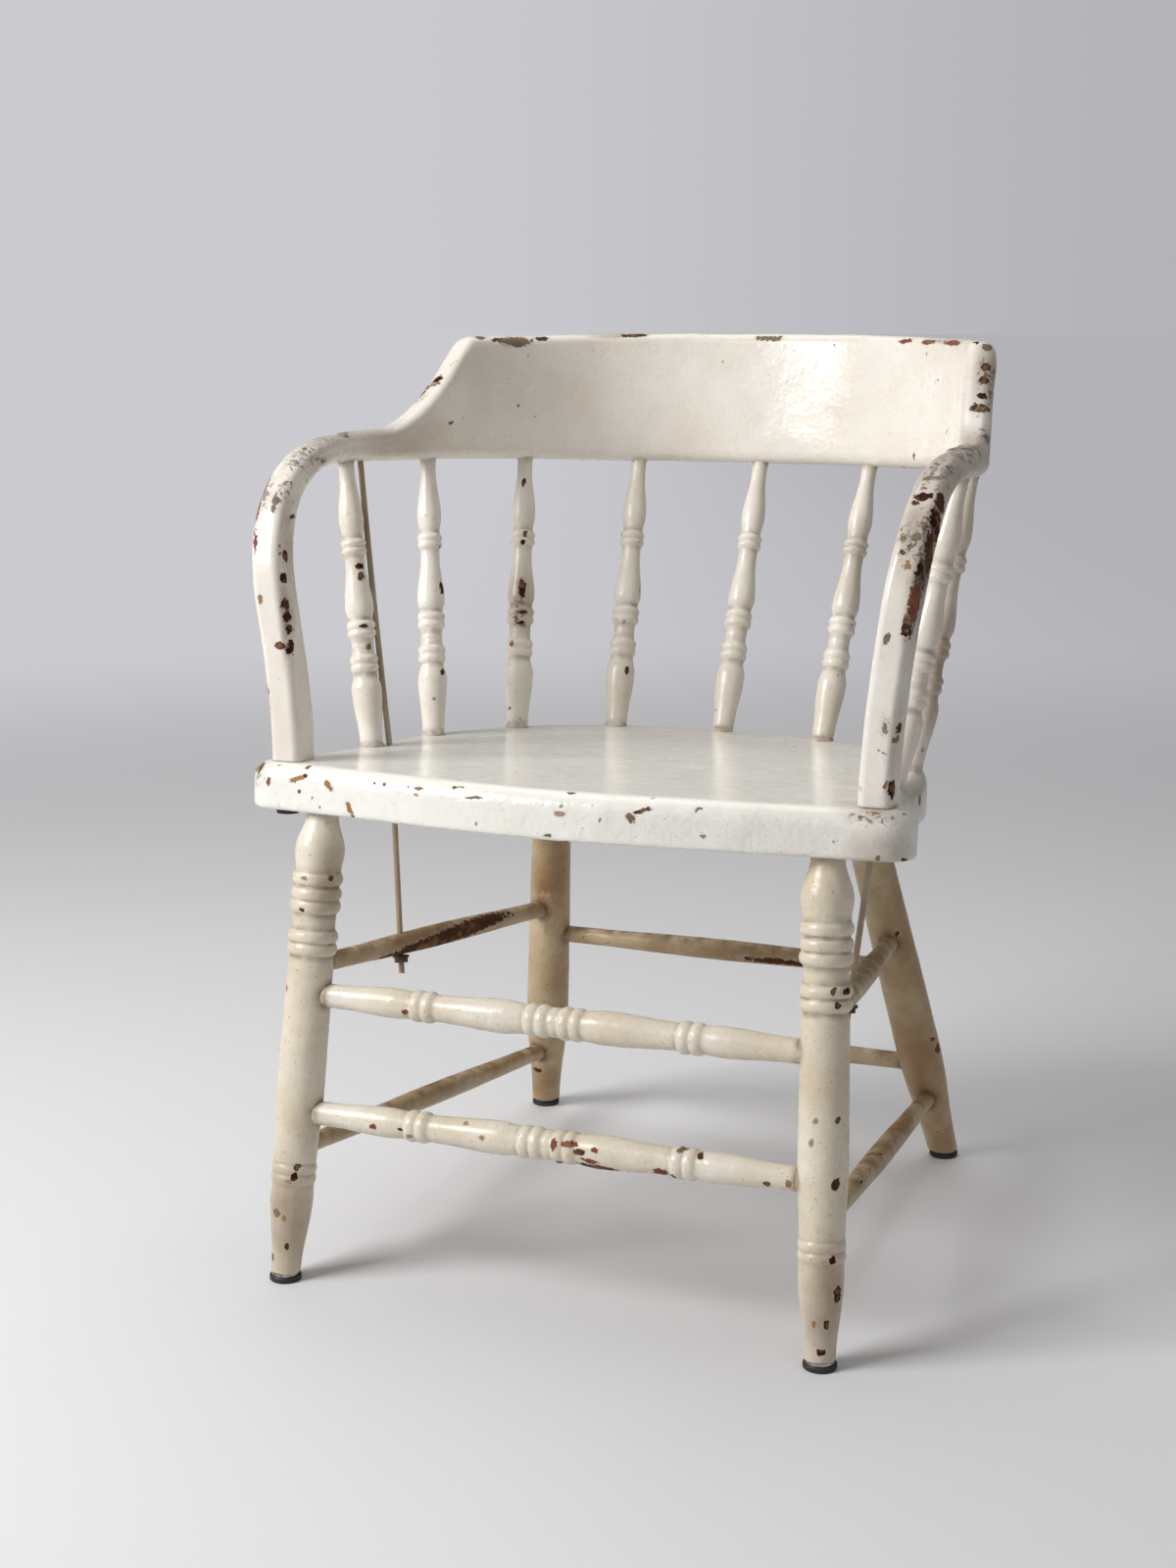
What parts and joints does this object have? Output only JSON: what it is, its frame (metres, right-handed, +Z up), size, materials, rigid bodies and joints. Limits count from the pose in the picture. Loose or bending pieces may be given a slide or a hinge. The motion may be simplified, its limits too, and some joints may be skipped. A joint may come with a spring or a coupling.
{
  "type": "armchair",
  "caption": "Low-backed wooden armchair in worn cream gloss paint: one bent board is crest and arms, on turned spindles, a shaped plank seat, splayed legs with stretchers and iron brace rods.",
  "frame": {"origin": "middle of the chair's bounding box, on the floor", "axes": "+Z up, the sitter faces -Y, +X is the sitter's left"},
  "size_m": [0.579, 0.5897, 0.7763],
  "materials": {
    "painted_wood": "thick cream gloss paint, yellowed, chipped to older coats and bare wood",
    "iron": "iron, painted over and rusty",
    "black_rubber": "black, dusty",
    "glide_steel": "dull steel"
  },
  "bodies": {
    "root": {"seat": "painted_wood", "back_arm_rail": "painted_wood", "spindle_1": "painted_wood", "spindle_2": "painted_wood", "spindle_3": "painted_wood", "spindle_4": "painted_wood", "spindle_5": "painted_wood", "spindle_6": "painted_wood", "spindle_7": "painted_wood", "spindle_8": "painted_wood", "spindle_9": "painted_wood", "leg_front_left": "painted_wood", "leg_front_right": "painted_wood", "leg_back_left": "painted_wood", "leg_back_right": "painted_wood", "stretcher_front_upper": "painted_wood", "stretcher_front_lower": "painted_wood", "stretcher_back_upper": "painted_wood", "stretcher_back_lower": "painted_wood", "stretcher_left_upper": "painted_wood", "stretcher_left_lower": "painted_wood", "stretcher_right_upper": "painted_wood", "stretcher_right_lower": "painted_wood", "brace_rod_left": "iron", "brace_rod_right": "iron", "brace_nuts": "iron", "arm_bolts": "iron", "arm_bolt_disc": "black_rubber", "glide_pads": "black_rubber", "glide_cups": "glide_steel", "glide_nails": "glide_steel"}
  },
  "joints": []
}
